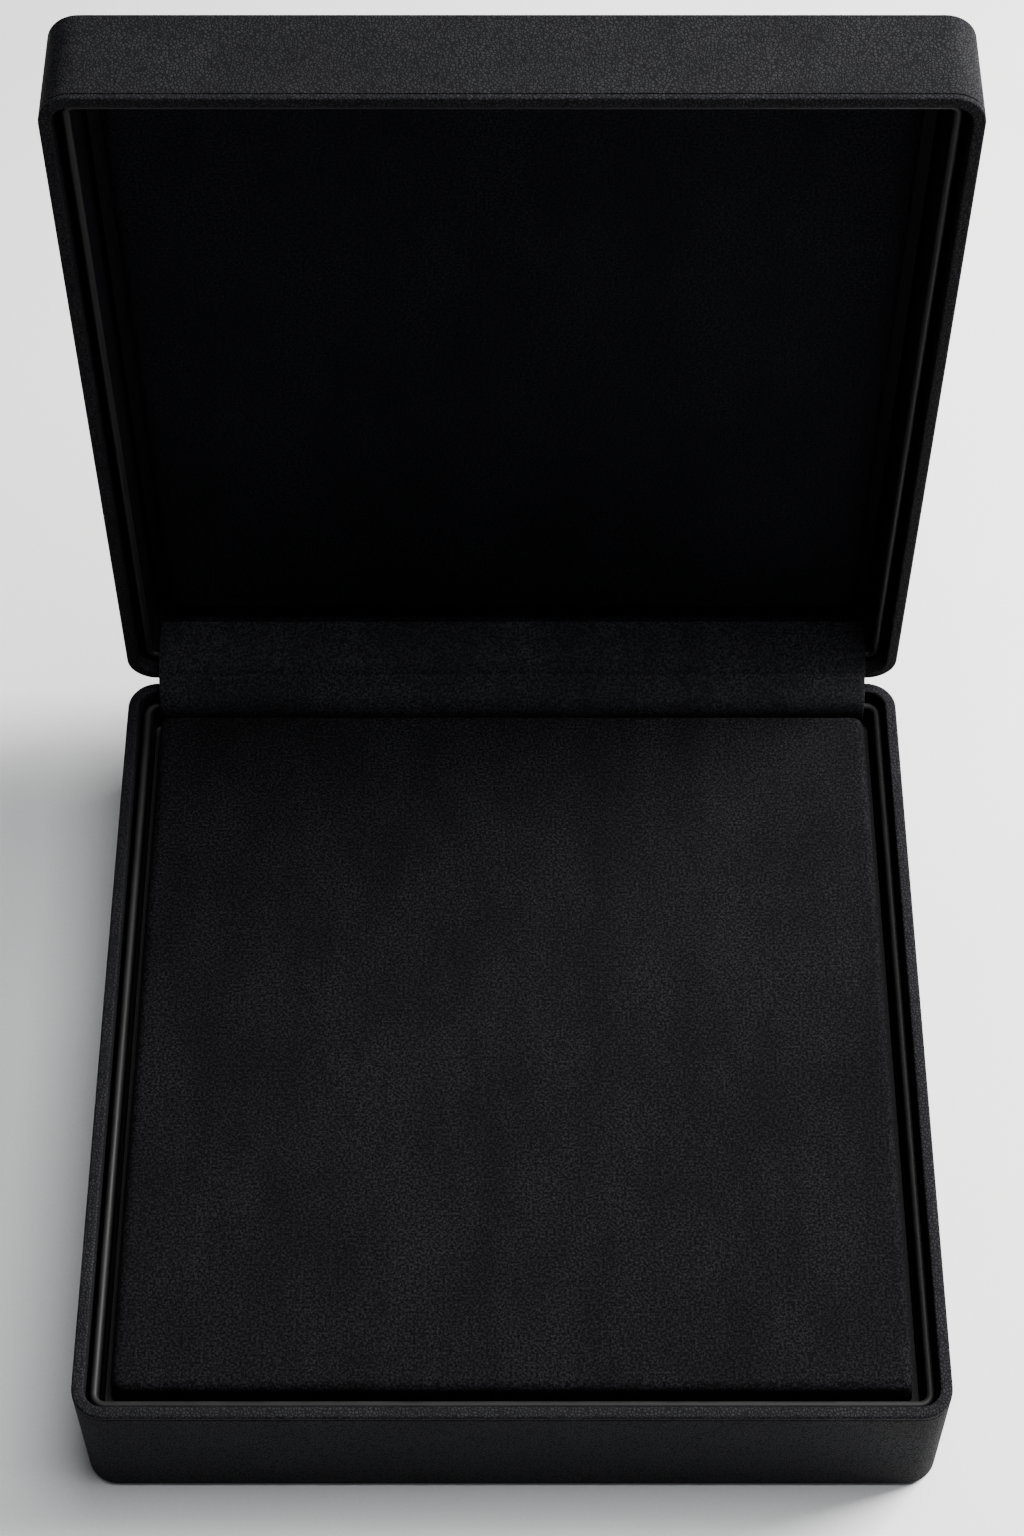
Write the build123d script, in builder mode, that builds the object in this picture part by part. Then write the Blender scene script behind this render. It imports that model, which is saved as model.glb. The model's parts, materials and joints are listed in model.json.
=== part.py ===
from build123d import *
import os
from dataclasses import dataclass

# A hinged gift box for a necklace and earring set, standing open. Two rounded board trays are
# covered in leather, each with a suede-covered collar inside its rim. The base holds a suede
# pad on a card riser, the lid a padded suede panel, and a suede flap hides the two hinges.
# The origin is the centre of the underside. +Z is up, the front faces -Y and the hinge is at +Y.

os.makedirs("parts", exist_ok=True)

# Overall sizes, in millimetres
BOX_WIDTH = 200.0  # left to right, over the leather
BOX_DEPTH = 205.0  # front to back, over the leather
BASE_HEIGHT = 40.0  # table to the base's rim
LID_HEIGHT = 26.0  # the lid's rim to its outer face
CORNER_RADIUS = 7.5  # upright corners, over the leather
LID_OPEN_ANGLE = 90.0  # from closed to the stop
RIM_GAP = 0.4  # between the two rims when closed

# Walls: board with leather outside, turned over the rim and down the inside
BOARD = 1.5
LEATHER = 0.65
BAND_DROP = 1.3  # how far the rim's turned edge comes down outside
CREASE = 0.3  # open seam under the turned edge
TURN_IN = 14.0  # how far the turned edge goes down inside
UNDER_HEM = 12.0  # leather turned under the base
SHEET_INSET = 2.0  # bottom sheet, in from the outline
BAND_ROUND = 0.45
OUTER_ROUND = 1.0  # the lid's top edge and the base's bottom edge

# Collars: a board frame inside each rim, with suede folded over its top edge
COLLAR_BOARD = 1.0
COLLAR_SUEDE = 0.4
COLLAR_DROP = 3.0  # below the rim
COLLAR_HEM = 6.0  # suede down the collar's outer side
LID_COLLAR_ROOM = 0.8  # the lid's collar stands this much further in than the base's
SHARPEST_CORNER = 1.5  # least corner radius inside the walls

# Pad in the base, panel in the lid: board, foam and a suede cover hemmed underneath
PAD_BOARD = 1.5
PAD_SUEDE = 0.6
PAD_FOAM = 5.0
PAD_CORNER = 3.0
PAD_ROUND = 2.2
PAD_HEM = 15.0
PAD_DROP = 2.5  # the pad's face below the rim
PAD_GAP = 2.5  # pad to collar
PANEL_DROP = 14.0  # the panel's face below the lid's rim
PANEL_GAP = 4.0  # panel to collar

# Riser: a card frame with two slotted ribs that cross inside it, which carries the pad
RISER_CARD = 1.5
RISER_CLEARANCE = 1.0
RIB_CLEARANCE = 0.1

# Hinges: two steel butt hinges with strapped leaves, riveted inside the back walls
HINGE_SPACING = 110.0
HINGE_WIDTH = 26.0
HINGE_SETBACK = 0.6  # axis behind the back walls
BARREL_RADIUS = 1.6
BARREL_CLEARANCE = 0.15
BARREL_END_GAP = 0.2
MIDDLE_BARREL = 9.0
PIN_RADIUS = 0.8
PIN_CLEARANCE = 0.05
PIN_OVERHANG = 0.4
LEAF = 0.5
LEAF_LENGTH = 13.0  # down the wall from the rim
STOP_LENGTH = 3.6  # heel that meets the base's back wall, down from the axis
STOP_GAP = 0.05
NOTCH_CLEARANCE = 0.1
RIVET_RADIUS = 0.8
RIVET_CLEARANCE = 0.05
RIVET_HEAD_RADIUS = 1.5
RIVET_HEAD = 0.35
RIVET_SPACING = 17.0
RIVET_DROP = 8.0  # below the rim
COLLAR_CLEARANCE = 0.15  # rivet heads to the collar

# Flap: one suede strip from behind the pad, over both collars, to the panel
FLAP = 1.0
FLAP_CLEARANCE = 0.25
FLAP_SIDE_CLEARANCE = 1.6
FLAP_FOLD = 3.0
FLAP_RISE = 1.0  # its folds, below each rim
FLAP_BASE_TAIL = 9.0  # below the base's rim
FLAP_LID_TAIL = 13.0  # inside the lid's rim

RIM_WIDTH = BOARD + 2 * LEATHER
COLLAR_WIDTH = COLLAR_BOARD + 2 * COLLAR_SUEDE
HINGE_ROOM = LEAF + RIVET_HEAD + COLLAR_CLEARANCE
AXIS_Y = BOX_DEPTH / 2 + HINGE_SETBACK
AXIS_Z = BASE_HEIGHT + RIM_GAP / 2
HINGE_CENTRES = (-HINGE_SPACING / 2, HINGE_SPACING / 2)


@dataclass
class Half:
    """A tray of the box. Its frame lies on the outer face: Z runs to the rim, Y to the hinge."""

    name: str
    frame: Plane
    height: float  # outer face to rim
    shell_bottom: float  # leather between the outer face and the shell
    collar_inset: float  # outer wall to the collar
    lining_drop: float  # rim to the face of the pad or panel
    lining_inset: float  # outer wall to the pad or panel
    lining_foam: float

    @property
    def floor(self):
        """Height of the shell's inner floor."""
        return self.shell_bottom + BOARD

    @property
    def lining_top(self):
        """Height of the face of the pad or panel."""
        return self.height - self.lining_drop

    @property
    def lining_bottom(self):
        """Height of the underside of the pad or panel."""
        return self.lining_top - 2 * PAD_SUEDE - PAD_BOARD - self.lining_foam

    @property
    def collar_face(self):
        """Inset of the collar's inner face."""
        return self.collar_inset + COLLAR_WIDTH

    @property
    def up(self):
        """Axis from the outer face to the rim."""
        return Axis(self.frame.origin, self.frame.z_dir)


hinge_place = Pos(0, AXIS_Y, AXIS_Z)
lid_closed_frame = Plane((0, 0, BASE_HEIGHT + RIM_GAP + LID_HEIGHT), (-1, 0, 0), (0, 0, -1))
lid_swing = hinge_place * Rot(X=-LID_OPEN_ANGLE) * hinge_place.inverse()

base_collar_inset = RIM_WIDTH + HINGE_ROOM
lid_collar_inset = base_collar_inset + LID_COLLAR_ROOM
base = Half(
    name="base",
    frame=Plane.XY,
    height=BASE_HEIGHT,
    shell_bottom=2 * LEATHER,
    collar_inset=base_collar_inset,
    lining_drop=PAD_DROP,
    lining_inset=base_collar_inset + COLLAR_WIDTH + PAD_GAP,
    lining_foam=PAD_FOAM,
)
lid = Half(
    name="lid",
    frame=Plane(lid_swing * lid_closed_frame.location),
    height=LID_HEIGHT,
    shell_bottom=LEATHER,
    collar_inset=lid_collar_inset,
    lining_drop=PANEL_DROP,
    lining_inset=lid_collar_inset + COLLAR_WIDTH + PANEL_GAP,
    lining_foam=LID_HEIGHT - PANEL_DROP - LEATHER - BOARD - 2 * PAD_SUEDE - PAD_BOARD,
)
FLAP_WIDTH = BOX_WIDTH - 2 * (lid.collar_face + FLAP_SIDE_CLEARANCE)
RISER_INSET = base.collar_face + RISER_CLEARANCE


def save(builder, name):
    """Label a finished piece and write its file."""
    builder.part.label = name
    export_step(builder.part, f"parts/{name}.step")


def outline(inset, mode=Mode.ADD):
    """The box's rounded outline, drawn in from the outer leather."""
    radius = max(CORNER_RADIUS - inset, SHARPEST_CORNER)
    RectangleRounded(BOX_WIDTH - 2 * inset, BOX_DEPTH - 2 * inset, radius, mode=mode)


def slab(half, inset, bottom, top, mode=Mode.ADD):
    """A plate with the box's outline, between two heights."""
    with BuildSketch(half.frame.offset(bottom)) as section:
        outline(inset)
    extrude(section.sketch, amount=top - bottom, mode=mode)


def ring(half, outer_inset, inner_inset, bottom, top):
    """A wall that follows the outline between two insets, between two heights."""
    with BuildSketch(half.frame.offset(bottom)) as section:
        outline(outer_inset)
        outline(inner_inset, mode=Mode.SUBTRACT)
    extrude(section.sketch, amount=top - bottom)


def back_section(half, x=0.0):
    """Upright plane across the back wall: its X runs out through the wall, its Y to the rim."""
    origin = half.frame.from_local_coords((x, 0, 0))
    return Plane(origin, half.frame.y_dir, half.frame.x_dir)


def hinge_notches(half):
    """Cut the back wall's rim where the hinge straps cross it."""
    depth = BARREL_RADIUS - RIM_GAP / 2 + NOTCH_CLEARANCE
    width = HINGE_WIDTH + 2 * BARREL_END_GAP
    for centre in HINGE_CENTRES:
        with BuildSketch(back_section(half, centre)) as section:
            with Locations((BOX_DEPTH / 2 - RIM_WIDTH / 2, half.height)):
                Rectangle(RIM_WIDTH + 2 * NOTCH_CLEARANCE, 2 * depth)
        extrude(section.sketch, amount=width / 2, both=True, mode=Mode.SUBTRACT)


def rivet_planes(half, inset):
    """Planes facing into the box at each rivet, at an inset of the back wall."""
    planes = []
    for centre in HINGE_CENTRES:
        for side in (-1, 1):
            x = centre + side * RIVET_SPACING / 2
            place = half.frame.from_local_coords((x, BOX_DEPTH / 2 - inset, half.height - RIVET_DROP))
            planes.append(Plane(place, half.frame.x_dir, -half.frame.y_dir))
    return planes


def rivet_holes(half, inset, depth):
    """Bore the rivet holes inward from an inset of the back wall."""
    for plane in rivet_planes(half, inset):
        with BuildSketch(plane) as section:
            Circle(RIVET_RADIUS + RIVET_CLEARANCE)
        extrude(section.sketch, amount=depth, mode=Mode.SUBTRACT)


def make_shell(half):
    """Board tray, with notches and rivet holes for the hinges."""
    top = half.height - LEATHER
    with BuildPart() as shell:
        slab(half, LEATHER, half.shell_bottom, top)
        slab(half, LEATHER + BOARD, half.floor, top, mode=Mode.SUBTRACT)
        hinge_notches(half)
        rivet_holes(half, LEATHER, BOARD)
    save(shell, f"{half.name}_shell")


def make_edge_band(half):
    """Leather turned over the rim: a short outer leg, the top, and a long inner leg."""
    under_top = half.height - LEATHER
    with BuildPart() as band:
        ring(half, 0, RIM_WIDTH, under_top, half.height)
        ring(half, 0, LEATHER, half.height - BAND_DROP, under_top)
        ring(half, LEATHER + BOARD, RIM_WIDTH, half.height - TURN_IN, under_top)
        fillet(band.edges().group_by(half.up)[-1], BAND_ROUND)
        hinge_notches(half)
        rivet_holes(half, LEATHER + BOARD, LEATHER)
    save(band, f"{half.name}_edge_band")


def make_base_wrap():
    """Leather round the base's walls, hemmed under its floor."""
    top = BASE_HEIGHT - BAND_DROP - CREASE
    with BuildPart() as wrap:
        ring(base, 0, LEATHER, LEATHER, top)
        ring(base, 0, UNDER_HEM, LEATHER, base.shell_bottom)
        outer_edges = [edge for edge in wrap.edges().group_by(base.up)[0] if edge_is_outer(base, edge)]
        fillet(outer_edges, OUTER_ROUND)
        hinge_notches(base)
    save(wrap, "base_wrap")


def make_lid_wrap():
    """Leather over the lid's outer face and down its walls."""
    top = LID_HEIGHT - BAND_DROP - CREASE
    with BuildPart() as wrap:
        slab(lid, 0, 0, top)
        fillet(wrap.edges().group_by(lid.up)[0], OUTER_ROUND)
        slab(lid, LEATHER, LEATHER, top, mode=Mode.SUBTRACT)
        hinge_notches(lid)
    save(wrap, "lid_wrap")


def edge_is_outer(half, edge):
    """Whether an edge lies on the outline of the outer leather."""
    middle = half.frame.to_local_coords(edge.center())
    reach = max(abs(middle.X) - BOX_WIDTH / 2, abs(middle.Y) - BOX_DEPTH / 2)
    return reach > -CORNER_RADIUS / 2


def make_bottom_sheet():
    """Flat sheet under the base, which the box stands on."""
    with BuildPart() as sheet:
        slab(base, SHEET_INSET, 0, LEATHER)
    save(sheet, "base_bottom_sheet")


def make_collar_board(half):
    """Board frame that stands on the shell's floor inside the rim."""
    outer = half.collar_inset + COLLAR_SUEDE
    with BuildPart() as board:
        ring(half, outer, outer + COLLAR_BOARD, half.floor, half.height - COLLAR_DROP - COLLAR_SUEDE)
    save(board, f"{half.name}_collar_board")


def make_collar_cover(half):
    """Suede folded over the collar's top edge and down to the pad or panel."""
    top = half.height - COLLAR_DROP
    under_top = top - COLLAR_SUEDE
    inner = half.collar_face - COLLAR_SUEDE
    with BuildPart() as cover:
        ring(half, half.collar_inset, half.collar_face, under_top, top)
        ring(half, half.collar_inset, half.collar_inset + COLLAR_SUEDE, top - COLLAR_HEM, under_top)
        ring(half, inner, half.collar_face, half.lining_bottom, under_top)
        fillet(cover.edges().group_by(half.up)[-1], COLLAR_SUEDE * 0.9)
    save(cover, f"{half.name}_collar_cover")


def cushion(half, inset, bottom, top, corner, rounding):
    """A plate with rounded corners and soft upper edges."""
    with BuildPart() as block:
        with BuildSketch(half.frame.offset(bottom)):
            RectangleRounded(BOX_WIDTH - 2 * inset, BOX_DEPTH - 2 * inset, corner)
        extrude(amount=top - bottom)
        fillet(block.edges().group_by(half.up)[-1], rounding)
    return block.part


def make_lining(half, name):
    """Board, foam and suede cover of the pad or panel."""
    core_inset = half.lining_inset + PAD_SUEDE
    core_bottom = half.lining_bottom + PAD_SUEDE
    core_top = half.lining_top - PAD_SUEDE
    core_corner = PAD_CORNER - PAD_SUEDE
    core_round = PAD_ROUND - PAD_SUEDE
    with BuildPart() as board:
        with BuildSketch(half.frame.offset(core_bottom)):
            RectangleRounded(BOX_WIDTH - 2 * core_inset, BOX_DEPTH - 2 * core_inset, core_corner)
        extrude(amount=PAD_BOARD)
    save(board, f"{name}_board")

    with BuildPart() as foam:
        add(cushion(half, core_inset, core_bottom + PAD_BOARD, core_top, core_corner, core_round))
    save(foam, f"{name}_foam")

    outside = cushion(half, half.lining_inset, half.lining_bottom, half.lining_top, PAD_CORNER, PAD_ROUND)
    inside = cushion(half, core_inset, core_bottom, core_top, core_corner, core_round)
    with BuildPart() as cover:
        add(outside)
        add(inside, mode=Mode.SUBTRACT)
        slab(half, half.lining_inset + PAD_HEM, half.lining_bottom, core_bottom, mode=Mode.SUBTRACT)
    save(cover, f"{name}_cover")


def make_riser_frame():
    """Card frame that stands on the base's floor and carries the pad's edge."""
    with BuildPart() as frame:
        ring(base, RISER_INSET, RISER_INSET + RISER_CARD, base.floor, base.lining_bottom)
    save(frame, "pad_riser_frame")


def make_riser_rib(name, plane, span, slot_end):
    """Card strip on edge across the frame, slotted halfway to cross the other one."""
    height = base.lining_bottom - base.floor
    middle = (base.lining_bottom + base.floor) / 2
    slot_height = height / 2 + RIB_CLEARANCE
    with BuildPart() as rib:
        with BuildSketch(plane) as section:
            with Locations((0, middle)):
                Rectangle(span - 2 * (RISER_INSET + RISER_CARD), height)
            with Locations((0, middle + slot_end * (height - slot_height) / 2)):
                Rectangle(RISER_CARD + 2 * RIB_CLEARANCE, slot_height, mode=Mode.SUBTRACT)
        extrude(section.sketch, amount=RISER_CARD / 2, both=True)
    save(rib, name)


def barrel_spans(half):
    """Centre and length of each barrel of a leaf, measured from the hinge's middle."""
    if half is lid:
        return [(0.0, MIDDLE_BARREL)]
    inner_end = MIDDLE_BARREL / 2 + BARREL_END_GAP
    length = HINGE_WIDTH / 2 - inner_end
    return [(-inner_end - length / 2, length), (inner_end + length / 2, length)]


def leaf_strap(half, centre):
    """Strap from the barrel over the notched rim and down the inside of the wall."""
    low = half.height + RIM_GAP / 2 - BARREL_RADIUS
    inside = BOX_DEPTH / 2 - RIM_WIDTH - LEAF
    foot = half.height - LEAF_LENGTH
    corners = [
        (AXIS_Y, low),
        (AXIS_Y, low + LEAF),
        (inside, low + LEAF),
        (inside, foot),
        (inside + LEAF, foot),
        (inside + LEAF, low),
    ]
    with BuildSketch(back_section(half, centre)) as section:
        with BuildLine():
            Polyline(*corners, close=True)
        make_face()
    extrude(section.sketch, amount=HINGE_WIDTH / 2, both=True)


def axis_cylinder(half, x, radius, length, mode=Mode.ADD):
    """A cylinder on the hinge axis, centred at a distance across the box."""
    with BuildSketch(back_section(half, x)) as section:
        with Locations((AXIS_Y, half.height + RIM_GAP / 2)):
            Circle(radius)
    extrude(section.sketch, amount=length / 2, both=True, mode=mode)


def stop_heel(centre, margin=0.0, mode=Mode.ADD):
    """Tab of the lid's leaf that lies on the base's back wall and stops the lid."""
    near = BOX_DEPTH / 2 + STOP_GAP - margin
    top = AXIS_Z - BARREL_RADIUS / 2
    bottom = AXIS_Z - STOP_LENGTH - margin
    with BuildSketch(back_section(base, centre)) as section:
        with Locations((near, bottom)):
            Rectangle(LEAF + 2 * margin, top - bottom, align=(Align.MIN, Align.MIN))
    extrude(section.sketch, amount=MIDDLE_BARREL / 2 + margin, both=True, mode=mode)


def make_leaves(half, other):
    """Both hinges' leaves of one half, bored for the pins and rivets."""
    with BuildPart() as leaves:
        for centre in HINGE_CENTRES:
            leaf_strap(half, centre)
            for offset_x, length in barrel_spans(other):
                cut = length + 2 * BARREL_END_GAP
                radius = BARREL_RADIUS + BARREL_CLEARANCE
                axis_cylinder(half, centre + offset_x, radius, cut, Mode.SUBTRACT)
        for centre in HINGE_CENTRES:
            if half is base:
                stop_heel(centre, BARREL_CLEARANCE, Mode.SUBTRACT)
            else:
                stop_heel(centre)
            for offset_x, length in barrel_spans(half):
                axis_cylinder(half, centre + offset_x, BARREL_RADIUS, length)
            axis_cylinder(half, centre, PIN_RADIUS + PIN_CLEARANCE, 2 * HINGE_WIDTH, Mode.SUBTRACT)
        rivet_holes(half, RIM_WIDTH, LEAF)
    save(leaves, f"hinge_{half.name}_leaves")


def make_rivets(half):
    """Rivets from the leaf's face through the wall, under the outer leather."""
    head_base = RIM_WIDTH + LEAF
    with BuildPart() as rivets:
        for shank_plane, head_plane in zip(rivet_planes(half, LEATHER), rivet_planes(half, head_base)):
            with BuildSketch(shank_plane) as shank:
                Circle(RIVET_RADIUS)
            extrude(shank.sketch, amount=head_base - LEATHER)
            with BuildSketch(head_plane) as head:
                Circle(RIVET_HEAD_RADIUS)
            extrude(head.sketch, amount=RIVET_HEAD, taper=30)
    save(rivets, f"hinge_{half.name}_rivets")


def make_pins():
    """Hinge pins with rounded ends."""
    with BuildPart() as pins:
        for centre in HINGE_CENTRES:
            axis_cylinder(base, centre, PIN_RADIUS, HINGE_WIDTH + 2 * PIN_OVERHANG)
        ends = pins.edges().filter_by(GeomType.CIRCLE)
        fillet(ends, PIN_OVERHANG * 0.9)
    save(pins, "hinge_pins")


def flap_point(half, height):
    """Where the flap's middle layer crosses a height beside a half's collar, as (Y, Z)."""
    inset = half.collar_face + FLAP_CLEARANCE + FLAP / 2
    place = half.frame.from_local_coords((0, BOX_DEPTH / 2 - inset, height))
    return (place.Y, place.Z)


def make_flap():
    """Suede strip glued to both collars' back runs, spanning the hinge."""
    route = [
        flap_point(base, base.height - FLAP_BASE_TAIL),
        flap_point(base, base.height - FLAP_RISE),
        flap_point(lid, lid.height - FLAP_RISE),
        flap_point(lid, lid.height - FLAP_LID_TAIL),
    ]
    with BuildPart() as flap:
        with BuildSketch(Plane.YZ) as section:
            with BuildLine():
                FilletPolyline(*route, radius=FLAP_FOLD)
            trace(line_width=FLAP)
        extrude(section.sketch, amount=FLAP_WIDTH / 2, both=True)
    save(flap, "hinge_flap")


make_base_wrap()
make_lid_wrap()
make_bottom_sheet()
for half, other, lining in ((base, lid, "pad"), (lid, base, "lid_panel")):
    make_shell(half)
    make_edge_band(half)
    make_collar_board(half)
    make_collar_cover(half)
    make_lining(half, lining)
    make_leaves(half, other)
    make_rivets(half)
make_riser_frame()
make_riser_rib("pad_riser_long_rib", Plane.XZ, BOX_WIDTH, slot_end=1)
make_riser_rib("pad_riser_cross_rib", Plane.YZ, BOX_DEPTH, slot_end=-1)
make_pins()
make_flap()
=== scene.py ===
"""A black gift box for a necklace set, standing open: its looks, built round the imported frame.

Lengths are metres in the frame's axes: the box's front faces -Y and its lid stands open at +Y.
"""

import json
import math

import bmesh
import bpy
from mathutils import Matrix, Vector, noise


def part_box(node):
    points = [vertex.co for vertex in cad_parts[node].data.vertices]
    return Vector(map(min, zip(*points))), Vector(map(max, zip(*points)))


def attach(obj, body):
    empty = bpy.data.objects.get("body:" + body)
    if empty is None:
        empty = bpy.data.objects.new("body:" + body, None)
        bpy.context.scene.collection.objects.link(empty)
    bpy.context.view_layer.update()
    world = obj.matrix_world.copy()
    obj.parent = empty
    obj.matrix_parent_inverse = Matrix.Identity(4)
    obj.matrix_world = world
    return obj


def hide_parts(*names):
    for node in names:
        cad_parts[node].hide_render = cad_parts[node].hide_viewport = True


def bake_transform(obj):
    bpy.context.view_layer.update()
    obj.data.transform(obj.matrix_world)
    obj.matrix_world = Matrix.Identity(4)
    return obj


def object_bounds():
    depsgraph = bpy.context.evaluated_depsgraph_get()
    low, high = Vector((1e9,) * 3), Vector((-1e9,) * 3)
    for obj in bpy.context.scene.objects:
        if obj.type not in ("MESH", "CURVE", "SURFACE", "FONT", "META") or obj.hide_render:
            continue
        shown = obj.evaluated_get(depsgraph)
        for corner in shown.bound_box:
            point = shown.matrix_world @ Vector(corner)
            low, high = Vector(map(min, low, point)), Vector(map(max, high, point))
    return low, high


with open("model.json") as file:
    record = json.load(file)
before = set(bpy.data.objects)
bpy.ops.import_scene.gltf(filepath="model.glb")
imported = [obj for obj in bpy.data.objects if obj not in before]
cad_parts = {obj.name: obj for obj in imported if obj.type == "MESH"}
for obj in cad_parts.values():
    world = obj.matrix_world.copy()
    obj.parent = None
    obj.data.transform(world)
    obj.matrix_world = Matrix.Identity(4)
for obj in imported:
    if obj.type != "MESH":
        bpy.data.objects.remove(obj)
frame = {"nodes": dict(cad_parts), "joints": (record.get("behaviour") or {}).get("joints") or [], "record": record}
cad_low, cad_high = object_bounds()

MM = 0.001

# Camera
IMAGE_HEIGHT = 1536
SENSOR = 36.0
FOCAL_PIXELS = 3187.0
CAMERA_DISTANCE = 0.8192
CAMERA_PITCH = 55.41  # degrees below the horizon
AIM_BEFORE_HINGE = 27.7 * MM
CLIP_START = 0.01

# Pad and panel covers
SUEDE = 0.6 * MM
PAD_STEP = 4 * MM
PAD_CORNER = 3.0 * MM
PAD_CORNER_PARTS = (0.35, 0.7, 1.0)  # grid lines inside a corner, as shares of it
PAD_ROUND = 2.2 * MM
PAD_ROUND_STEPS = 3
PAD_HEM = 15 * MM
PAD_HEM_PARTS = (1 / 3, 2 / 3, 1.0)
PAD_START = 0.3 * MM  # how much lower the skin starts, before it swells
PAD_CROWN = 0.9 * MM
PANEL_CROWN = 1.4 * MM
CLOTH_FRAMES = 20
CLOTH_PRESSURE = 4.0
CLOTH_QUALITY = 6
CLOTH_MASS = 0.2
CLOTH_TENSION = 30
CLOTH_BENDING = 4
TUCK_DEPTH = 0.12 * MM
TUCKS_PER_CORNER = 5
HAND_WAVE = 0.12 * MM
HAND_WAVE_SIZE = 26 * MM
HAND_WAVE_SEED = 3.0

# Collar covers
OUTER_CORNER = 7.5 * MM  # upright corners of the box, over the leather
COLLAR_WIDTH = 1.8 * MM
COLLAR_SUEDE = 0.4 * MM
COLLAR_HEM = 6 * MM
COLLAR_CORNER_STEPS = 6
COLLAR_ROUND_STEPS = 6
COLLAR_LEG_POINTS = 2  # points of the section down the collar's outer side
RUN_STEP = 3 * MM
COLLAR_WAVE = 0.07 * MM
COLLAR_RISE_SIZE = 18 * MM
COLLAR_LEAN_SIZE = 24 * MM

# Flap
FLAP_THICKNESS = 0.9 * MM
FLAP_COLUMNS = 92
FLAP_ROWS = 60
FLAP_WAVE = 0.25 * MM
FLAP_BLUR = 0.10  # share of its length over which each bend is eased
FLAP_CREASE = 0.25 * MM
FLAP_CREASE_PLACE = 0.5  # share of its length
FLAP_CREASE_SPREAD = 0.02

FLAP_KNEE_DROP = 10 * MM  # where it leaves the pad's back, below its top
FLAP_RIDGE_INSET = 2 * MM  # where it turns up into the lid, behind the lid's rim
FLAP_AHEAD = 0.01  # share of its length used to find its direction
FLAP_BLUR_SAMPLES = 4  # on each side of a point
FLAP_LOOSE_START = 0.2  # share of its length where it comes loose
FLAP_LOOSE_SPAN = 0.55
FLAP_RIPPLE = 22 * MM
FLAP_RIPPLE_LENGTH = 20 * MM
FLAP_SEED = 7.0

# Grain of the materials
NOISE_BAND = (0.3, 0.7)  # where most values of a noise lie
UNIT = (0.0, 1.0)
PEBBLE = 0.75 * MM
PEBBLE_EDGE = 0.28  # share of a pebble that slopes down to its edge
PEBBLE_BEND = 0.5 * MM
PEBBLE_BEND_SIZE = 2 * MM
LEATHER_PORE = 0.22 * MM
LEATHER_PATCH = 14 * MM
LEATHER_SCUFF = 3 * MM
LEATHER_EDGE = 0.9 * MM
LEATHER_SPECULAR = 0.03
EDGE_TURN = (0.88, 0.995)  # cosine of the turn along an edge, and on a flat face
SUEDE_FIBRE = 0.25 * MM
SUEDE_TUFT = 0.6 * MM
SUEDE_BRUSH = 16 * MM
SUEDE_SPECULAR = 0.06
SHEEN_TINT = (0.55, 0.6, 0.72, 1.0)
SATIN_FIBRE = 0.3 * MM
SATIN_RUB = 9 * MM
SATIN_SPECULAR = 0.15
BOARD_FIBRE = 0.6 * MM
BOARD_FLECK = 1.6 * MM
FOAM_CELL = 0.7 * MM
STEEL_SCRATCH = 1.2 * MM
STEEL_PATCH = 4 * MM

# Stage
FLOOR_SIZE = 20.0
FLOOR_CLOUD = 0.25
FLOOR_GRAIN = 0.8 * MM
KEY_PLACE = (0.7, 0.32, 0.66)
KEY_SIZE = 0.5
KEY_POWER = 42.0
KEY_COLOUR = (1.0, 0.99, 0.98)
OVERHEAD_PLACE = (0.25, 0.05, 1.2)
OVERHEAD_SIZE = 0.7
OVERHEAD_POWER = 14.0
OVERHEAD_COLOUR = (0.98, 0.99, 1.0)
SKY_COLOUR = (0.80, 0.83, 0.88, 1.0)
SKY_STRENGTH = 0.14


# ---------------------------------------------------------------- places


def matrix_from(x_axis, y_axis, z_axis, origin):
    """A placing matrix from three axes and an origin."""
    rotation = Matrix((x_axis, y_axis, z_axis)).transposed()
    return Matrix.Translation(origin) @ rotation.to_4x4()


def lid_place():
    """The open lid's own axes: Z runs from its outer face to its rim, Y towards the hinge."""
    low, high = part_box("lid_wrap")
    origin = Vector((0, high.y, (low.z + high.z) / 2))
    return matrix_from((-1, 0, 0), (0, 0, -1), (0, -1, 0), origin)


PLACES = {"base": Matrix.Identity(4), "lid": lid_place()}


def local_box(node, half):
    """Lowest and highest corner of a node in its own half's axes."""
    inverse = PLACES[half].inverted()
    corners = [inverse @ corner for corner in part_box(node)]
    low = Vector(map(min, *corners))
    high = Vector(map(max, *corners))
    return low, high


def new_piece(name, points, faces, half, material):
    """Make a smooth mesh piece in a half's axes and give it its material."""
    mesh = bpy.data.meshes.new(name)
    mesh.from_pydata(points, [], faces)
    mesh.transform(PLACES[half])
    mesh.validate()
    mesh.shade_smooth()
    piece = bpy.data.objects.new(name, mesh)
    bpy.context.scene.collection.objects.link(piece)
    mesh.materials.append(material)
    return piece


def grid_faces(columns, rows):
    """Faces between a grid's points, which are listed row by row."""
    faces = []
    for row in range(rows - 1):
        for column in range(columns - 1):
            first = row * columns + column
            faces.append((first, first + 1, first + columns + 1, first + columns))
    return faces


def grid_border(columns, rows):
    """The grid's border points, in order round it."""
    border = list(range(columns))
    border += [row * columns + columns - 1 for row in range(1, rows)]
    border += [(rows - 1) * columns + column for column in range(columns - 2, -1, -1)]
    border += [row * columns for row in range(rows - 2, 0, -1)]
    return border


def ring_faces(inner, outer):
    """Faces between two closed rings that have the same number of points."""
    faces = []
    for index in range(len(outer)):
        after = (index + 1) % len(outer)
        faces.append((inner[index], outer[index], outer[after], inner[after]))
    return faces


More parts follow.
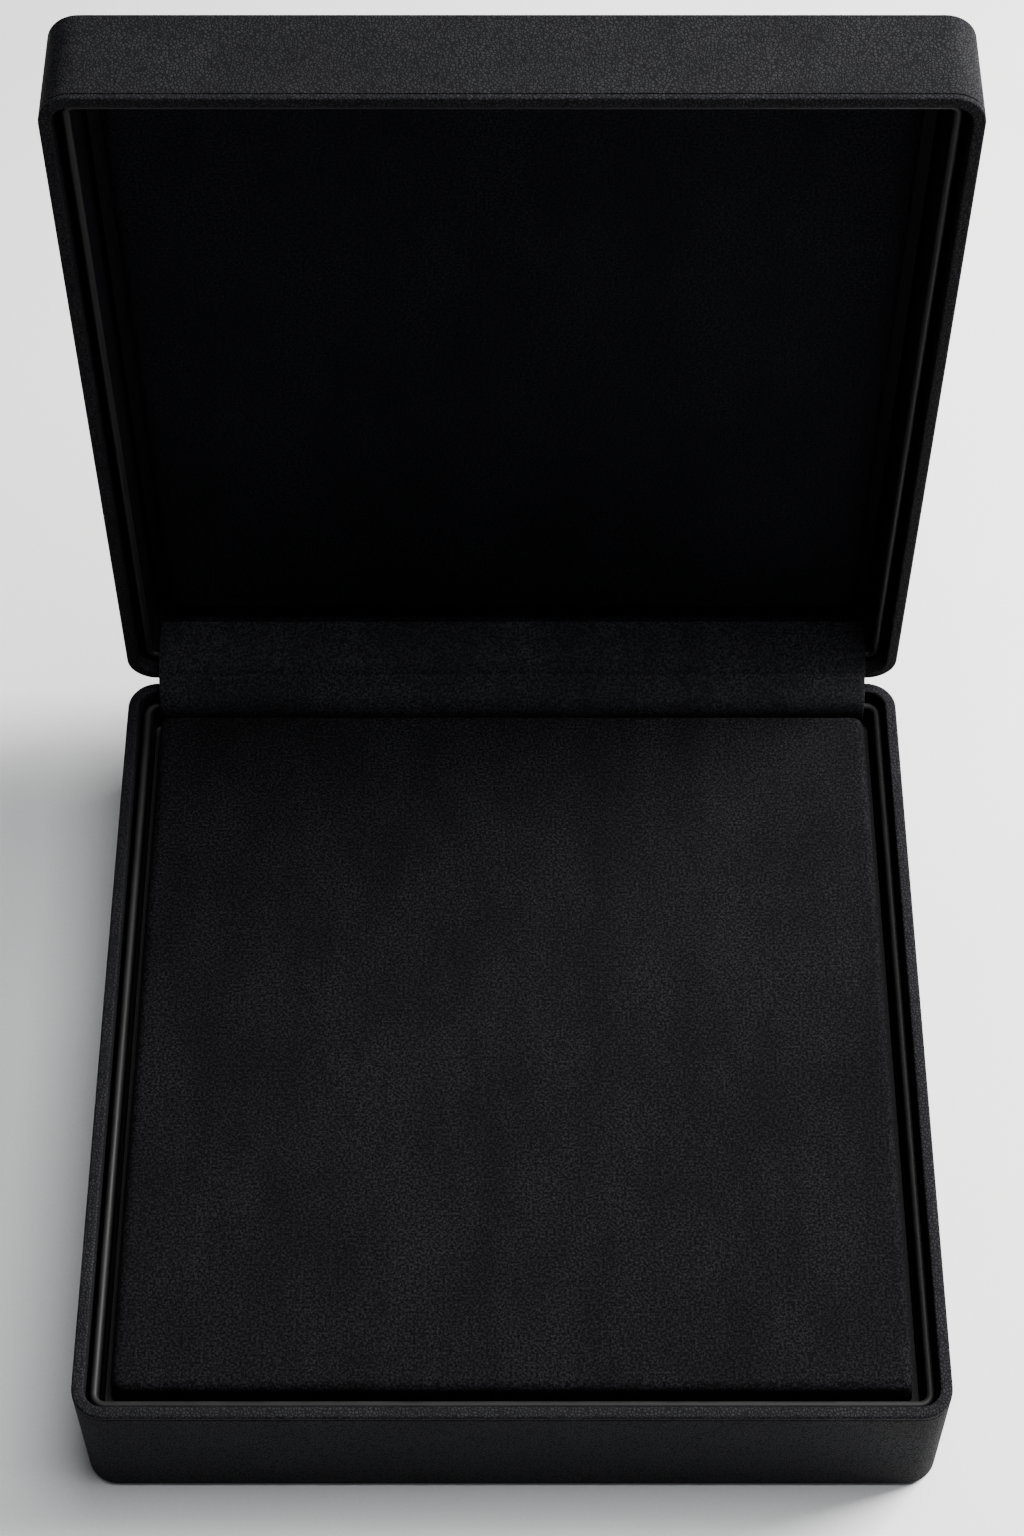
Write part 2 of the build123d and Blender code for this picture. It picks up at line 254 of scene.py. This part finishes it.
def close_up(piece):
    """Merge coinciding points and turn every face outwards."""
    work = bmesh.new()
    work.from_mesh(piece.data)
    bmesh.ops.remove_doubles(work, verts=work.verts, dist=0.01 * MM)
    bmesh.ops.recalc_face_normals(work, faces=work.faces)
    work.to_mesh(piece.data)
    work.free()


def wave(point, size, seed):
    """Smooth noise of about -1 to 1 at a point, with features of about the given size."""
    return noise.noise(Vector(point) / size + Vector((seed, 0, 0)))


# ---------------------------------------------------------------- material helpers


def new_material(name):
    """A material, with its node tree and its principled shader."""
    material = bpy.data.materials.new(name)
    material.use_nodes = True
    return material, material.node_tree, material.node_tree.nodes["Principled BSDF"]


def join(tree, value, socket):
    """Link an output to a socket, or set a plain value on it."""
    if isinstance(value, bpy.types.NodeSocket):
        tree.links.new(value, socket)
    elif socket.type == "RGBA":
        socket.default_value = (*value, 1.0)
    else:
        socket.default_value = value


def add_node(tree, kind, inputs, **settings):
    """Add a node with its settings. Inputs go by socket name."""
    made = tree.nodes.new(kind)
    for name, value in settings.items():
        setattr(made, name, value)
    for name, value in inputs.items():
        join(tree, value, made.inputs[name])
    return made


def place_in(tree, stretch=(1.0, 1.0, 1.0)):
    """The point's place on the object, in metres, stretched along its axes."""
    coordinates = tree.nodes.new("ShaderNodeTexCoord").outputs["Object"]
    inputs = {"Vector": coordinates, "Scale": stretch}
    return add_node(tree, "ShaderNodeMapping", inputs).outputs["Vector"]


def noise_of(tree, place, size, detail=3.0, roughness=0.5):
    """Soft noise with features of about the given size."""
    inputs = {"Vector": place, "Scale": 1 / size, "Detail": detail, "Roughness": roughness}
    return add_node(tree, "ShaderNodeTexNoise", inputs).outputs["Fac"]


def cells_of(tree, place, size, feature):
    """Distance pattern of a cell texture with cells of about the given size."""
    inputs = {"Vector": place, "Scale": 1 / size}
    return add_node(tree, "ShaderNodeTexVoronoi", inputs, feature=feature).outputs["Distance"]


def ramp(tree, value, between, into):
    """Ease a value that lies between two limits into another range."""
    inputs = {
        "Value": value,
        "From Min": between[0],
        "From Max": between[1],
        "To Min": into[0],
        "To Max": into[1],
    }
    made = add_node(tree, "ShaderNodeMapRange", inputs, interpolation_type="SMOOTHSTEP")
    return made.outputs["Result"]


def math_of(tree, operation, first, second):
    """Combine two numbers."""
    made = add_node(tree, "ShaderNodeMath", {}, operation=operation)
    join(tree, first, made.inputs[0])
    join(tree, second, made.inputs[1])
    return made.outputs[0]


def colours_of(tree, factor, stops):
    """Colour along a factor from 0 to 1, given as (position, colour) stops."""
    made = add_node(tree, "ShaderNodeValToRGB", {"Fac": factor})
    elements = made.color_ramp.elements
    while len(elements) < len(stops):
        elements.new(1.0)
    for element, (position, colour) in zip(elements, stops):
        element.position = position
        element.color = (*colour, 1.0)
    return made.outputs["Color"]


def bump_on(tree, shader, layers, normal=None):
    """Stack bumps on a shader, given as (height, depth, strength), the broadest first."""
    for height, depth, strength in layers:
        inputs = {"Height": height, "Distance": depth, "Strength": strength}
        if normal is not None:
            inputs["Normal"] = normal
        normal = add_node(tree, "ShaderNodeBump", inputs).outputs["Normal"]
    tree.links.new(normal, shader.inputs["Normal"])


def edge_mask(tree, rounded):
    """How strongly the surface turns near a point: 1 along worn edges, 0 on flat faces."""
    flat = tree.nodes.new("ShaderNodeNewGeometry").outputs["Normal"]
    dot = add_node(tree, "ShaderNodeVectorMath", {}, operation="DOT_PRODUCT")
    tree.links.new(rounded, dot.inputs[0])
    tree.links.new(flat, dot.inputs[1])
    return ramp(tree, dot.outputs["Value"], EDGE_TURN, (1.0, 0.0))


# ---------------------------------------------------------------- materials


def bent_place(tree, place):
    """The place on the object, pushed about by noise so that cells lose their straight sides."""
    inputs = {"Vector": place, "Scale": 1 / PEBBLE_BEND_SIZE}
    push = add_node(tree, "ShaderNodeTexNoise", inputs).outputs["Color"]
    offset = add_node(tree, "ShaderNodeVectorMath", {}, operation="MULTIPLY_ADD")
    tree.links.new(push, offset.inputs[0])
    offset.inputs[1].default_value = (PEBBLE_BEND,) * 3
    tree.links.new(place, offset.inputs[2])
    return offset.outputs["Vector"]


def make_leatherette(name):
    """Black leatherette: a fine pebble grain, slightly polished along the edges."""
    material, tree, shader = new_material(name)
    place = place_in(tree)
    cells = cells_of(tree, bent_place(tree, place), PEBBLE, "DISTANCE_TO_EDGE")
    pebbles = ramp(tree, cells, (0.0, PEBBLE_EDGE), UNIT)
    pores = noise_of(tree, place, LEATHER_PORE, detail=2)
    patches = noise_of(tree, place, LEATHER_PATCH, detail=4)
    rounded = add_node(tree, "ShaderNodeBevel", {"Radius": LEATHER_EDGE}, samples=6).outputs["Normal"]
    wear = edge_mask(tree, rounded)
    scuff_noise = noise_of(tree, place, LEATHER_SCUFF, detail=5, roughness=0.7)
    worn = math_of(tree, "MULTIPLY", wear, ramp(tree, scuff_noise, (0.42, 0.7), (0.25, 1.0)))
    patch_tone = ramp(tree, patches, NOISE_BAND, (0.44, 0.56))
    flat_tone = math_of(tree, "MULTIPLY", patch_tone, ramp(tree, pebbles, UNIT, (0.2, 1.0)))
    tone = math_of(tree, "ADD", flat_tone, math_of(tree, "MULTIPLY", worn, 0.3))
    stops = [
        (0.0, (0.0025, 0.0025, 0.0030)),
        (0.5, (0.0125, 0.0125, 0.0142)),
        (1.0, (0.036, 0.036, 0.038)),
    ]
    join(tree, colours_of(tree, tone, stops), shader.inputs["Base Color"])
    grainy = ramp(tree, pebbles, UNIT, (0.72, 0.56))
    roughness = math_of(tree, "SUBTRACT", grainy, math_of(tree, "MULTIPLY", worn, 0.2))
    join(tree, roughness, shader.inputs["Roughness"])
    shader.inputs["Specular IOR Level"].default_value = LEATHER_SPECULAR
    layers = [(patches, 0.5 * MM, 0.08), (pebbles, 0.09 * MM, 0.8), (pores, 0.03 * MM, 0.3)]
    bump_on(tree, shader, layers, rounded)
    return material


def make_suede(name, dark, light, sheen):
    """Black suede: a short mottled nap, brushed in soft patches, with a faint sheen."""
    material, tree, shader = new_material(name)
    place = place_in(tree)
    fibres = noise_of(tree, place, SUEDE_FIBRE, detail=4, roughness=0.75)
    tufts = noise_of(tree, place, SUEDE_TUFT, detail=4, roughness=0.7)
    brushed = noise_of(tree, place_in(tree, (1.0, 0.45, 0.45)), SUEDE_BRUSH, detail=5, roughness=0.6)
    brush_tone = ramp(tree, brushed, NOISE_BAND, (0.55, 1.0))
    lie = math_of(tree, "MULTIPLY", brush_tone, ramp(tree, tufts, (0.43, 0.62), (0.05, 1.0)))
    nap = math_of(tree, "MULTIPLY", lie, ramp(tree, fibres, (0.36, 0.66), (0.25, 1.0)))
    join(tree, colours_of(tree, nap, [(0.0, dark), (1.0, light)]), shader.inputs["Base Color"])
    shader.inputs["Roughness"].default_value = 0.95
    shader.inputs["Specular IOR Level"].default_value = SUEDE_SPECULAR
    shader.inputs["Sheen Weight"].default_value = sheen
    shader.inputs["Sheen Roughness"].default_value = 0.45
    shader.inputs["Sheen Tint"].default_value = SHEEN_TINT
    bump_on(tree, shader, [(tufts, 0.35 * MM, 0.35), (fibres, 0.16 * MM, 0.6)])
    return material


def make_satin(name):
    """Black suede pressed smooth round the collars' edges: a close nap with a satin shine."""
    material, tree, shader = new_material(name)
    place = place_in(tree)
    fibres = noise_of(tree, place, SATIN_FIBRE, detail=4, roughness=0.7)
    rubbed = noise_of(tree, place, SATIN_RUB, detail=4, roughness=0.6)
    tone = math_of(tree, "MULTIPLY", fibres, ramp(tree, rubbed, NOISE_BAND, (0.6, 1.0)))
    stops = [(0.1, (0.0035, 0.0033, 0.0033)), (0.7, (0.014, 0.0135, 0.0135))]
    join(tree, colours_of(tree, tone, stops), shader.inputs["Base Color"])
    join(tree, ramp(tree, rubbed, NOISE_BAND, (0.48, 0.6)), shader.inputs["Roughness"])
    shader.inputs["Specular IOR Level"].default_value = SATIN_SPECULAR
    bump_on(tree, shader, [(rubbed, 0.3 * MM, 0.1), (fibres, 0.04 * MM, 0.4)])
    return material


def make_board(name):
    """Black-dyed board: pressed paper fibres with darker and lighter flecks."""
    material, tree, shader = new_material(name)
    place = place_in(tree)
    fibres = noise_of(tree, place_in(tree, (1.0, 1.0, 3.0)), BOARD_FIBRE, detail=5, roughness=0.7)
    flecks = ramp(tree, cells_of(tree, place, BOARD_FLECK, "F1"), (0.0, 0.12), (1.0, 0.0))
    tone = math_of(tree, "SUBTRACT", fibres, math_of(tree, "MULTIPLY", flecks, 0.25))
    stops = [(0.2, (0.004, 0.004, 0.004)), (0.8, (0.013, 0.013, 0.013))]
    join(tree, colours_of(tree, tone, stops), shader.inputs["Base Color"])
    join(tree, ramp(tree, fibres, (0.2, 0.8), (0.95, 0.8)), shader.inputs["Roughness"])
    bump_on(tree, shader, [(fibres, 0.08 * MM, 0.5)])
    return material


def make_foam(name):
    """Dark open-cell foam."""
    material, tree, shader = new_material(name)
    place = place_in(tree)
    edges = cells_of(tree, place, FOAM_CELL, "DISTANCE_TO_EDGE")
    cells = ramp(tree, edges, (0.0, 0.3), (1.0, 0.0))
    stops = [(0.0, (0.025, 0.025, 0.026)), (1.0, (0.11, 0.11, 0.11))]
    join(tree, colours_of(tree, cells, stops), shader.inputs["Base Color"])
    shader.inputs["Roughness"].default_value = 0.95
    bump_on(tree, shader, [(cells, 0.25 * MM, 0.8)])
    return material


def make_steel(name):
    """Plated steel with fine drawn scratches and dulled patches."""
    material, tree, shader = new_material(name)
    drawn = place_in(tree, (1.0, 14.0, 14.0))
    scratches = noise_of(tree, drawn, STEEL_SCRATCH, detail=4, roughness=0.7)
    patches = noise_of(tree, place_in(tree), STEEL_PATCH, detail=3)
    stops = [(0.2, (0.34, 0.34, 0.35)), (0.8, (0.56, 0.56, 0.58))]
    join(tree, colours_of(tree, patches, stops), shader.inputs["Base Color"])
    shader.inputs["Metallic"].default_value = 1.0
    join(tree, ramp(tree, scratches, NOISE_BAND, (0.22, 0.42)), shader.inputs["Roughness"])
    bump_on(tree, shader, [(scratches, 0.02 * MM, 0.4)])
    return material


leatherette = make_leatherette("leatherette")
pad_suede = make_suede("pad_suede", (0.0003, 0.0003, 0.0004), (0.0150, 0.0146, 0.0180), 0.004)
lid_suede = make_suede("lid_suede", (0.0006, 0.0006, 0.0012), (0.0140, 0.0140, 0.0200), 0.0)
# The flap's suede is the pad's suede painted lighter: a painted lift of light on a flap that lies in the lid's
# shade.
flap_suede = make_suede("flap_suede", (0.0045, 0.0045, 0.0052), (0.0360, 0.0360, 0.0410), 0.008)
collar_satin = make_satin("collar_satin")
board = make_board("black_board")
foam = make_foam("foam")
steel = make_steel("hinge_steel")

MATERIAL_OF_SLOT = {
    "leatherette": leatherette,
    "suede": pad_suede,
    "lid_suede": lid_suede,
    "flap_suede": flap_suede,
    "black_board": board,
    "foam": foam,
    "hinge_steel": steel,
}


def dress_frame():
    """Give every node of the frame the material that its slot names."""
    for subpart in frame["record"]["subparts"]:
        mesh = frame["nodes"][subpart["node"]].data
        mesh.materials.clear()
        mesh.materials.append(MATERIAL_OF_SLOT[subpart["material_slot"]])


# ---------------------------------------------------------------- pads


def grid_lines(reach, corner, step):
    """Grid lines from one side to the other, closer together inside the corners."""
    flat = reach - corner
    count = round(2 * flat / step)
    middle = [flat * (2 * index / count - 1) for index in range(count + 1)]
    edge = [flat + corner * part for part in PAD_CORNER_PARTS]
    return [-value for value in reversed(edge)] + middle + edge


def into_corner(x, y, reach_x, reach_y, corner):
    """Bend a rectangle's grid point into a rounded rectangle, and say which way is outwards."""
    over_x = max(abs(x) - (reach_x - corner), 0.0) / corner
    over_y = max(abs(y) - (reach_y - corner), 0.0) / corner
    side_x, side_y = math.copysign(1, x), math.copysign(1, y)
    round_x = over_x * math.sqrt(1 - over_y**2 / 2)
    round_y = over_y * math.sqrt(1 - over_x**2 / 2)
    if over_x > 0:
        x = side_x * (reach_x - corner + corner * round_x)
    if over_y > 0:
        y = side_y * (reach_y - corner + corner * round_y)
    if over_x > 0 and over_y > 0:
        outward = Vector((side_x * round_x, side_y * round_y)).normalized()
    elif abs(over_x) >= abs(over_y):
        outward = Vector((side_x, 0))
    else:
        outward = Vector((0, side_y))
    return Vector((x, y)), outward


def cover_profile(thickness):
    """Steps outwards and down from the top's edge: over the round, down the side, under the hem."""
    profile = []
    for step in range(1, PAD_ROUND_STEPS + 1):
        angle = step * math.pi / (2 * PAD_ROUND_STEPS)
        profile.append((PAD_ROUND * math.sin(angle), -PAD_ROUND * (1 - math.cos(angle))))
    under = PAD_ROUND / 4
    profile.append((PAD_ROUND, -(PAD_ROUND + thickness - under) / 2))
    profile.append((PAD_ROUND, -(thickness - under)))
    profile.append((PAD_ROUND - under, -thickness))
    return profile


def cover_rings(thickness):
    """The profile's steps, then the hem's, as (outwards, height, reach under the pad)."""
    profile = cover_profile(thickness)
    outwards, height = profile[-1]
    rings = [(*step, 0.0) for step in profile]
    rings += [(outwards, height, PAD_HEM * part) for part in PAD_HEM_PARTS]
    return rings


def cover_ring(edge, middle, offset, limits, height):
    """One ring's points: the top's edge moved outwards, and kept inside the limits when there are any."""
    ring = []
    for point, outward in edge:
        x = point.x - middle.x + outward.x * offset
        y = point.y - middle.y + outward.y * offset
        if limits:
            x = max(-limits[0], min(limits[0], x))
            y = max(-limits[1], min(limits[1], y))
        ring.append(Vector((middle.x + x, middle.y + y, height)))
    return ring


def cover_mesh(low, high, drop):
    """Points, faces and held points of a pad's skin: its top, sides and the hem underneath."""
    middle = (low + high) / 2
    half_x, half_y = (high.x - low.x) / 2, (high.y - low.y) / 2
    reach_x, reach_y = half_x - PAD_ROUND, half_y - PAD_ROUND
    corner = PAD_CORNER - PAD_ROUND
    lines_x = grid_lines(reach_x, corner, PAD_STEP)
    lines_y = grid_lines(reach_y, corner, PAD_STEP)
    top = high.z - drop
    spots = [into_corner(x, y, reach_x, reach_y, corner) for y in lines_y for x in lines_x]
    points = [Vector((middle.x + place.x, middle.y + place.y, top)) for place, outward in spots]
    faces = grid_faces(len(lines_x), len(lines_y))
    previous = grid_border(len(lines_x), len(lines_y))
    edge = [(points[index], spots[index][1]) for index in previous]
    held = []
    for number, (offset, height, hem) in enumerate(cover_rings(high.z - low.z - drop)):
        limits = (half_x - hem, half_y - hem) if hem else None
        ring = list(range(len(points), len(points) + len(edge)))
        points += cover_ring(edge, middle, offset, limits, top + height)
        faces += ring_faces(previous, ring)
        if number >= PAD_ROUND_STEPS:
            held += ring
        previous = ring
    return points, faces, held


def swell(piece, held, most):
    """Swell a skin by cloth pressure. No point moves further than a soft limit."""
    rest = [vertex.co.copy() for vertex in piece.data.vertices]
    group = piece.vertex_groups.new(name="held")
    group.add(held, 1.0, "REPLACE")
    cloth = piece.modifiers.new("swell", "CLOTH")
    settings = cloth.settings
    settings.quality = CLOTH_QUALITY
    settings.mass = CLOTH_MASS
    settings.tension_stiffness = CLOTH_TENSION
    settings.bending_stiffness = CLOTH_BENDING
    settings.use_pressure = True
    settings.uniform_pressure_force = CLOTH_PRESSURE
    settings.vertex_group_mass = "held"
    settings.effector_weights.gravity = 0
    cloth.point_cache.frame_end = CLOTH_FRAMES
    for step in range(1, CLOTH_FRAMES + 1):
        bpy.context.scene.frame_set(step)
    shown = piece.evaluated_get(bpy.context.evaluated_depsgraph_get())
    swollen = [vertex.co.copy() for vertex in shown.data.vertices]
    piece.modifiers.remove(cloth)
    bpy.context.scene.frame_set(1)
    for vertex, start, end in zip(piece.data.vertices, rest, swollen):
        move = end - start
        if move.length > 0:
            vertex.co = start + move * (most * math.tanh(move.length / most) / move.length)
    piece.vertex_groups.clear()


def tuck_corners(piece, half, low, high):
    """Press small gathered tucks into the sides at the four corners, and a hand-laid wave on top."""
    inverse = PLACES[half].inverted()
    normals = [vertex.normal.copy() for vertex in piece.data.vertices]
    middle = (low + high) / 2
    for vertex, normal in zip(piece.data.vertices, normals):
        point = inverse @ vertex.co - middle
        over_x = abs(point.x) - ((high.x - low.x) / 2 - 2 * PAD_CORNER)
        over_y = abs(point.y) - ((high.y - low.y) / 2 - 2 * PAD_CORNER)
        depth = HAND_WAVE * wave(point, HAND_WAVE_SIZE, HAND_WAVE_SEED)
        if over_x > 0 and over_y > 0:
            turn = math.atan2(over_y, over_x) / (math.pi / 2)
            near = min(1.0, min(over_x, over_y) / PAD_CORNER)
            folds = 0.5 + 0.5 * math.cos(2 * math.pi * TUCKS_PER_CORNER * turn)
            depth -= TUCK_DEPTH * near * folds
        vertex.co += normal * depth


def make_pad(name, node, half, crown, material):
    """A suede cover over a pad: swollen by cloth simulation, tucked at its corners, with thickness."""
    low, high = local_box(node, half)
    points, faces, held = cover_mesh(low, high, PAD_START)
    piece = new_piece(name, points, faces, half, material)
    swell(piece, held, crown)
    tuck_corners(piece, half, low, high)
    close_up(piece)
    smooth = piece.modifiers.new("smooth", "SUBSURF")
    smooth.levels = smooth.render_levels = 1
    skin = piece.modifiers.new("skin", "SOLIDIFY")
    skin.thickness = SUEDE
    skin.offset = -1.0
    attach(piece, half)
    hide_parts(node)
    return piece


# ---------------------------------------------------------------- collars


def rounded_loop(reach_x, reach_y, corner):
    """Points round a rounded rectangle, with the way outwards at each."""
    loop = []
    for quarter in range(4):
        turn = quarter * math.pi / 2
        side_x = 1 if quarter in (0, 3) else -1
        side_y = 1 if quarter in (0, 1) else -1
        centre = Vector((side_x * (reach_x - corner), side_y * (reach_y - corner)))
        for step in range(COLLAR_CORNER_STEPS + 1):
            angle = turn + step / COLLAR_CORNER_STEPS * math.pi / 2
            outward = Vector((math.cos(angle), math.sin(angle)))
            loop.append((centre + corner * outward, outward))
        run = 2 * ((reach_x if quarter % 2 == 0 else reach_y) - corner)
        along = Vector((-math.sin(turn + math.pi / 2), math.cos(turn + math.pi / 2)))
        count = round(run / RUN_STEP)
        start = loop[-1][0]
        for step in range(1, count):
            loop.append((start + along * run * step / count, outward))
    return loop


def collar_section(top, bottom):
    """Section of the folded suede, as (inset, height): outside down to the hem, back up inside."""
    section = []
    round_radius = COLLAR_WIDTH / 2
    inner_radius = round_radius - COLLAR_SUEDE
    steps = COLLAR_ROUND_STEPS
    section.append((0.0, top - COLLAR_HEM))
    section.append((0.0, top - COLLAR_HEM / 2))
    for step in range(steps + 1):
        angle = math.pi * (1 - step / steps)
        inset = round_radius * (1 + math.cos(angle))
        section.append((inset, top - round_radius * (1 - math.sin(angle))))
    section.append((COLLAR_WIDTH, (top + bottom) / 2))
    section.append((COLLAR_WIDTH, bottom))
    section.append((COLLAR_WIDTH - COLLAR_SUEDE, bottom))
    section.append((COLLAR_WIDTH - COLLAR_SUEDE, (top + bottom) / 2))
    for step in range(steps + 1):
        angle = math.pi * step / steps
        inset = round_radius + inner_radius * math.cos(angle)
        section.append((inset, top - round_radius + inner_radius * math.sin(angle)))
    section.append((COLLAR_SUEDE, top - COLLAR_HEM / 2))
    section.append((COLLAR_SUEDE, top - COLLAR_HEM))
    return section


def make_collar(name, node, half, material, seed):
    """Suede folded over a collar's top edge, following its outline with a slight hand-laid wave."""
    low, high = local_box(node, half)
    reach_x, reach_y = (high.x - low.x) / 2, (high.y - low.y) / 2
    from_outside = local_box(f"{half}_wrap", half)[1].x - high.x
    loop = rounded_loop(reach_x, reach_y, OUTER_CORNER - from_outside)
    section = collar_section(high.z, low.z)
    points = []
    for place, outward in loop:
        rise = COLLAR_WAVE * wave((place.x, place.y, 0), COLLAR_RISE_SIZE, seed)
        lean = COLLAR_WAVE * wave((place.x, place.y, 1), COLLAR_LEAN_SIZE, seed)
        for inset, height in section:
            share = (height - low.z) / (high.z - low.z)
            spot = place - outward * (inset + abs(lean) * share)
            points.append((spot.x, spot.y, height - abs(rise) * share))
    size = len(section)
    faces = []
    for index in range(len(loop)):
        here = index * size
        ahead = (index + 1) % len(loop) * size
        for step in range(size):
            follow = (step + 1) % size
            faces.append((here + step, here + follow, ahead + follow, ahead + step))
    piece = new_piece(name, points, faces, half, material)
    piece.data.materials.append(collar_satin)
    for polygon in piece.data.polygons:
        step = polygon.index % size
        if COLLAR_LEG_POINTS <= step < COLLAR_LEG_POINTS + COLLAR_ROUND_STEPS:
            polygon.material_index = 1
    close_up(piece)
    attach(piece, half)
    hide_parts(node)
    return piece


# ---------------------------------------------------------------- flap


def flap_route():
    """The flap's middle line as (Y, Z): up behind the pad, over the gap, into the lid."""
    low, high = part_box("hinge_flap")
    lean = FLAP_THICKNESS / 2
    start = Vector((low.y + lean, low.z))
    knee = Vector((low.y + lean, high.z - FLAP_KNEE_DROP))
    ridge = Vector((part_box("lid_edge_band")[0].y + FLAP_RIDGE_INSET, high.z - lean))
    end = Vector((high.y, high.z - lean))
    return start, knee, ridge, end


def flap_point(share):
    """The flap's middle line at a share of its length, eased at its two bends, and its whole length."""
    start, knee, ridge, end = flap_route()
    legs = [(start, knee), (knee, ridge), (ridge, end)]
    lengths = [(b - a).length for a, b in legs]

    def on_legs(value):
        remaining = max(0.0, min(1.0, value)) * sum(lengths)
        for (a, b), length in zip(legs, lengths):
            if remaining <= length:
                return a.lerp(b, remaining / length)
            remaining -= length
        return end.copy()

    reach = min(FLAP_BLUR, share, 1 - share)
    offsets = range(-FLAP_BLUR_SAMPLES, FLAP_BLUR_SAMPLES + 1)
    samples = [on_legs(share + reach * offset / FLAP_BLUR_SAMPLES) for offset in offsets]
    return sum(samples, Vector((0, 0))) / len(samples), sum(lengths)


def flap_lift(x, share):
    """How far the flap stands off its middle line: a ripple where it is loose, and one crease."""
    loose_share = max(0.0, min(1.0, (share - FLAP_LOOSE_START) / FLAP_LOOSE_SPAN))
    loose = math.sin(math.pi * loose_share) ** 2
    crease = math.exp(-(((share - FLAP_CREASE_PLACE) / FLAP_CREASE_SPREAD) ** 2))
    ripple = wave((x, share * FLAP_RIPPLE_LENGTH, 0), FLAP_RIPPLE, FLAP_SEED)
    return FLAP_WAVE * loose * ripple + FLAP_CREASE * crease


def make_flap():
    """The suede flap: glued flat to both collars, loose and gently rippled over the gap."""
    low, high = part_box("hinge_flap")
    width = high.x - low.x
    points = []
    for row in range(FLAP_ROWS + 1):
        share = row / FLAP_ROWS
        middle, length = flap_point(share)
        after = flap_point(min(1.0, share + FLAP_AHEAD))[0]
        ahead = after - flap_point(max(0.0, share - FLAP_AHEAD))[0]
        normal = Vector((ahead.y, -ahead.x)).normalized()
        for column in range(FLAP_COLUMNS + 1):
            x = low.x + width * column / FLAP_COLUMNS
            lift = flap_lift(x, share)
            points.append((x, middle.x + normal.x * lift, middle.y + normal.y * lift))
    faces = grid_faces(FLAP_COLUMNS + 1, FLAP_ROWS + 1)
    # Its suede is painted lighter than the pad's, as painted light on a part that lies in shade.
    piece = new_piece("flap_strip", points, faces, "base", flap_suede)
    skin = piece.modifiers.new("skin", "SOLIDIFY")
    skin.thickness = FLAP_THICKNESS
    skin.offset = 0.0
    rim = piece.modifiers.new("soft_edge", "BEVEL")
    rim.width = FLAP_THICKNESS / 3
    rim.segments = 2
    rim.limit_method = "ANGLE"
    start, knee, ridge, end = flap_route()
    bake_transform(piece)
    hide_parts("hinge_flap")
    return piece


# ---------------------------------------------------------------- stage


def make_floor():
    """A plain pale floor."""
    bpy.ops.mesh.primitive_plane_add(size=FLOOR_SIZE, location=(0, 0, 0))
    floor = bpy.context.object
    floor.name = "floor"
    material, tree, shader = new_material("floor")
    clouds = noise_of(tree, place_in(tree), FLOOR_CLOUD, detail=5, roughness=0.6)
    grains = noise_of(tree, place_in(tree), FLOOR_GRAIN, detail=3, roughness=0.7)
    cloud_tone = math_of(tree, "MULTIPLY", clouds, 0.6)
    tone = math_of(tree, "ADD", cloud_tone, math_of(tree, "MULTIPLY", grains, 0.4))
    stops = [(0.3, (0.72, 0.72, 0.72)), (0.7, (0.84, 0.84, 0.84))]
    join(tree, colours_of(tree, tone, stops), shader.inputs["Base Color"])
    bump_on(tree, shader, [(grains, 0.1 * MM, 0.3)])
    shader.inputs["Roughness"].default_value = 0.55
    floor.data.materials.append(material)


def make_light(name, place, aim, size, power, colour):
    """A square soft light, turned towards a point."""
    light = bpy.data.lights.new(name, "AREA")
    light.size = size
    light.energy = power
    light.color = colour
    holder = bpy.data.objects.new(name, light)
    holder.location = place
    looks = Vector(aim) - Vector(place)
    holder.rotation_euler = looks.to_track_quat("-Z", "Y").to_euler()
    bpy.context.scene.collection.objects.link(holder)


def make_lights():
    """Soft daylight from the back right, and a broad overhead."""
    aim = (cad_low + cad_high) / 2
    make_light("key", KEY_PLACE, aim, KEY_SIZE, KEY_POWER, KEY_COLOUR)
    make_light("overhead", OVERHEAD_PLACE, aim, OVERHEAD_SIZE, OVERHEAD_POWER, OVERHEAD_COLOUR)
    world = bpy.data.worlds.new("world")
    bpy.context.scene.world = world
    world.use_nodes = True
    background = world.node_tree.nodes["Background"]
    background.inputs["Color"].default_value = SKY_COLOUR
    background.inputs["Strength"].default_value = SKY_STRENGTH


def make_camera():
    """The camera, looking down from the front at a point before the hinge, level with the base's rim."""
    hinge_y = frame["joints"][0]["pos_m"][1]
    rim_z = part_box("base_edge_band")[1].z
    aim = Vector((0, hinge_y - AIM_BEFORE_HINGE, rim_z))
    pitch = math.radians(CAMERA_PITCH)
    looks = Vector((0, math.cos(pitch), -math.sin(pitch)))
    camera = bpy.data.cameras.new("camera")
    camera.sensor_width = SENSOR
    camera.lens = FOCAL_PIXELS * SENSOR / IMAGE_HEIGHT
    camera.clip_start = CLIP_START
    holder = bpy.data.objects.new("camera", camera)
    holder.location = aim - looks * CAMERA_DISTANCE
    holder.rotation_euler = looks.to_track_quat("-Z", "Y").to_euler()
    bpy.context.scene.collection.objects.link(holder)
    bpy.context.scene.camera = holder


# ---------------------------------------------------------------- making

make_camera()
make_floor()
make_lights()
dress_frame()
make_pad("pad_suede_cover", "pad_cover", "base", PAD_CROWN, pad_suede)
make_pad("lid_panel_suede_cover", "lid_panel_cover", "lid", PANEL_CROWN, lid_suede)
make_collar("base_collar_suede", "base_collar_cover", "base", pad_suede, 11.0)
make_collar("lid_collar_suede", "lid_collar_cover", "lid", lid_suede, 13.0)
make_flap()
